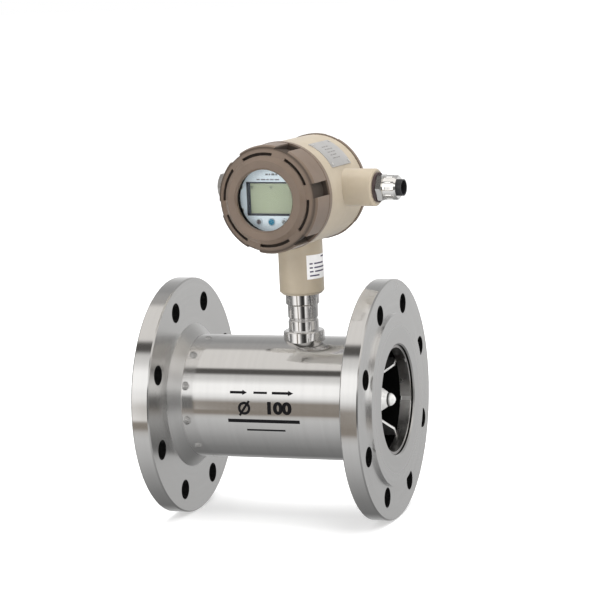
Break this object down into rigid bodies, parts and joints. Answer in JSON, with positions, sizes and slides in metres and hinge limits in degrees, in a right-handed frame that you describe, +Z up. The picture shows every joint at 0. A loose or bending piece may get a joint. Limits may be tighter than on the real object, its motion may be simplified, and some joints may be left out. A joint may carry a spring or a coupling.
{
  "type": "turbine flow meter",
  "caption": "Flanged pipe section with a helical rotor between vaned flow guides, and a swivelling display head with screw covers on a stem.",
  "frame": {"origin": "centre of the inlet flange's sealing face, on the pipe axis", "axes": "+X along the pipe axis in the direction of flow, +Z up the stem to the display head, +Y to the rear of the head"},
  "size_m": [0.2338, 0.22, 0.35],
  "materials": {
    "stainless": "turned and polished stainless steel",
    "guide_steel": "polished stainless steel",
    "rotor_steel": "machined magnetic stainless steel",
    "hard_metal": "ground hard metal",
    "black_rubber": "matt black rubber",
    "black_plastic": "matt black plastic",
    "beige_enamel": "beige baked enamel on die-cast aluminium",
    "brown_enamel": "brown-grey baked enamel on die-cast aluminium",
    "clear_glass": "clear toughened glass",
    "dark_metal": "blackened steel",
    "display_face": "pale printed film",
    "lcd": "grey-green liquid crystal glass",
    "circuit_green": "lacquered circuit board",
    "brass_metal": "turned brass",
    "nickel": "nickel-plated brass",
    "button_grey": "moulded grey plastic",
    "button_blue": "moulded blue plastic",
    "plate_grey": "satin anodised aluminium"
  },
  "bodies": {
    "pipe": {"inlet_flange": "stainless", "outlet_flange": "stainless", "body_tube": "stainless", "inlet_guide": "guide_steel", "outlet_guide": "guide_steel", "inlet_retaining_ring": "guide_steel", "outlet_retaining_ring": "guide_steel", "inlet_bush": "hard_metal", "outlet_bush": "hard_metal", "inlet_thrust_disc": "hard_metal", "outlet_thrust_disc": "hard_metal", "sensor_boss": "stainless", "stem": "stainless", "stem_seal": "black_rubber", "pickup_coil": "black_plastic", "pickup_core": "hard_metal", "pickup_lock_nut": "stainless", "pickup_plug": "black_plastic"},
    "rotor": {"rotor": "rotor_steel", "rotor_shaft": "hard_metal", "thrust_washers": "hard_metal"},
    "head": {"housing_body": "beige_enamel", "neck_set_screw": "dark_metal", "display_plate": "display_face", "lcd_module": "lcd", "backlight": "black_plastic", "display_board": "circuit_green", "display_spacers": "brass_metal", "display_posts": "brass_metal", "display_screws": "nickel", "button_switches": "black_plastic", "terminal_block": "black_plastic", "terminal_screws": "nickel", "conduit_plug": "nickel", "connector_washer": "black_rubber", "connector_nut": "nickel", "connector_sleeve": "nickel", "connector_insert": "black_plastic", "connector_pins": "brass_metal", "nameplate": "plate_grey", "nameplate_rivets": "nickel"},
    "front_ring": {"front_seal": "black_rubber"},
    "front_lid": {"front_cover": "brown_enamel", "window_gasket": "black_rubber", "window_glass": "clear_glass", "window_keeper": "dark_metal"},
    "rear_ring": {"rear_seal": "black_rubber"},
    "rear_lid": {"rear_cover": "brown_enamel"},
    "left_button": {"button_left": "button_grey"},
    "enter_button": {"button_enter": "button_blue"},
    "right_button": {"button_right": "button_grey"}
  },
  "joints": [
    {"name": "rotor_spin", "type": "hinge", "parent": "pipe", "child": "rotor", "pos_m": [0.132, 0, 0], "axis": [1, 0, 0], "continuous": true},
    {"name": "head_swivel", "type": "hinge", "parent": "pipe", "child": "head", "pos_m": [0.132, 0, 0.0975], "axis": [0, 0, 1], "range_deg": [-175, 175]},
    {"name": "front_cover_turn", "type": "hinge", "parent": "front_ring", "child": "front_lid", "pos_m": [0.132, 0, 0.191], "axis": [-0.1045, -0.9945, 0], "range_deg": [0, 2880]},
    {"name": "front_cover_travel", "type": "slide", "parent": "head", "child": "front_ring", "axis": [-0.1045, -0.9945, 0], "range_m": [0, 0.01201]},
    {"name": "rear_cover_turn", "type": "hinge", "parent": "rear_ring", "child": "rear_lid", "pos_m": [0.132, 0, 0.191], "axis": [0.1045, 0.9945, 0], "range_deg": [0, 2880]},
    {"name": "rear_cover_travel", "type": "slide", "parent": "head", "child": "rear_ring", "axis": [0.1045, 0.9945, 0], "range_m": [0, 0.01201]},
    {"name": "left_button_press", "type": "slide", "parent": "head", "child": "left_button", "axis": [0.1045, 0.9945, 0], "range_m": [0, 0.0005], "stiffness_N_per_m": 500},
    {"name": "enter_button_press", "type": "slide", "parent": "head", "child": "enter_button", "axis": [0.1045, 0.9945, 0], "range_m": [0, 0.0005], "stiffness_N_per_m": 500},
    {"name": "right_button_press", "type": "slide", "parent": "head", "child": "right_button", "axis": [0.1045, 0.9945, 0], "range_m": [0, 0.0005], "stiffness_N_per_m": 500}
  ],
  "couplings": [
    {"joint": "front_cover_travel", "follows": "front_cover_turn", "m_per_rad": 0.00023873},
    {"joint": "rear_cover_travel", "follows": "rear_cover_turn", "m_per_rad": 0.00023873}
  ]
}
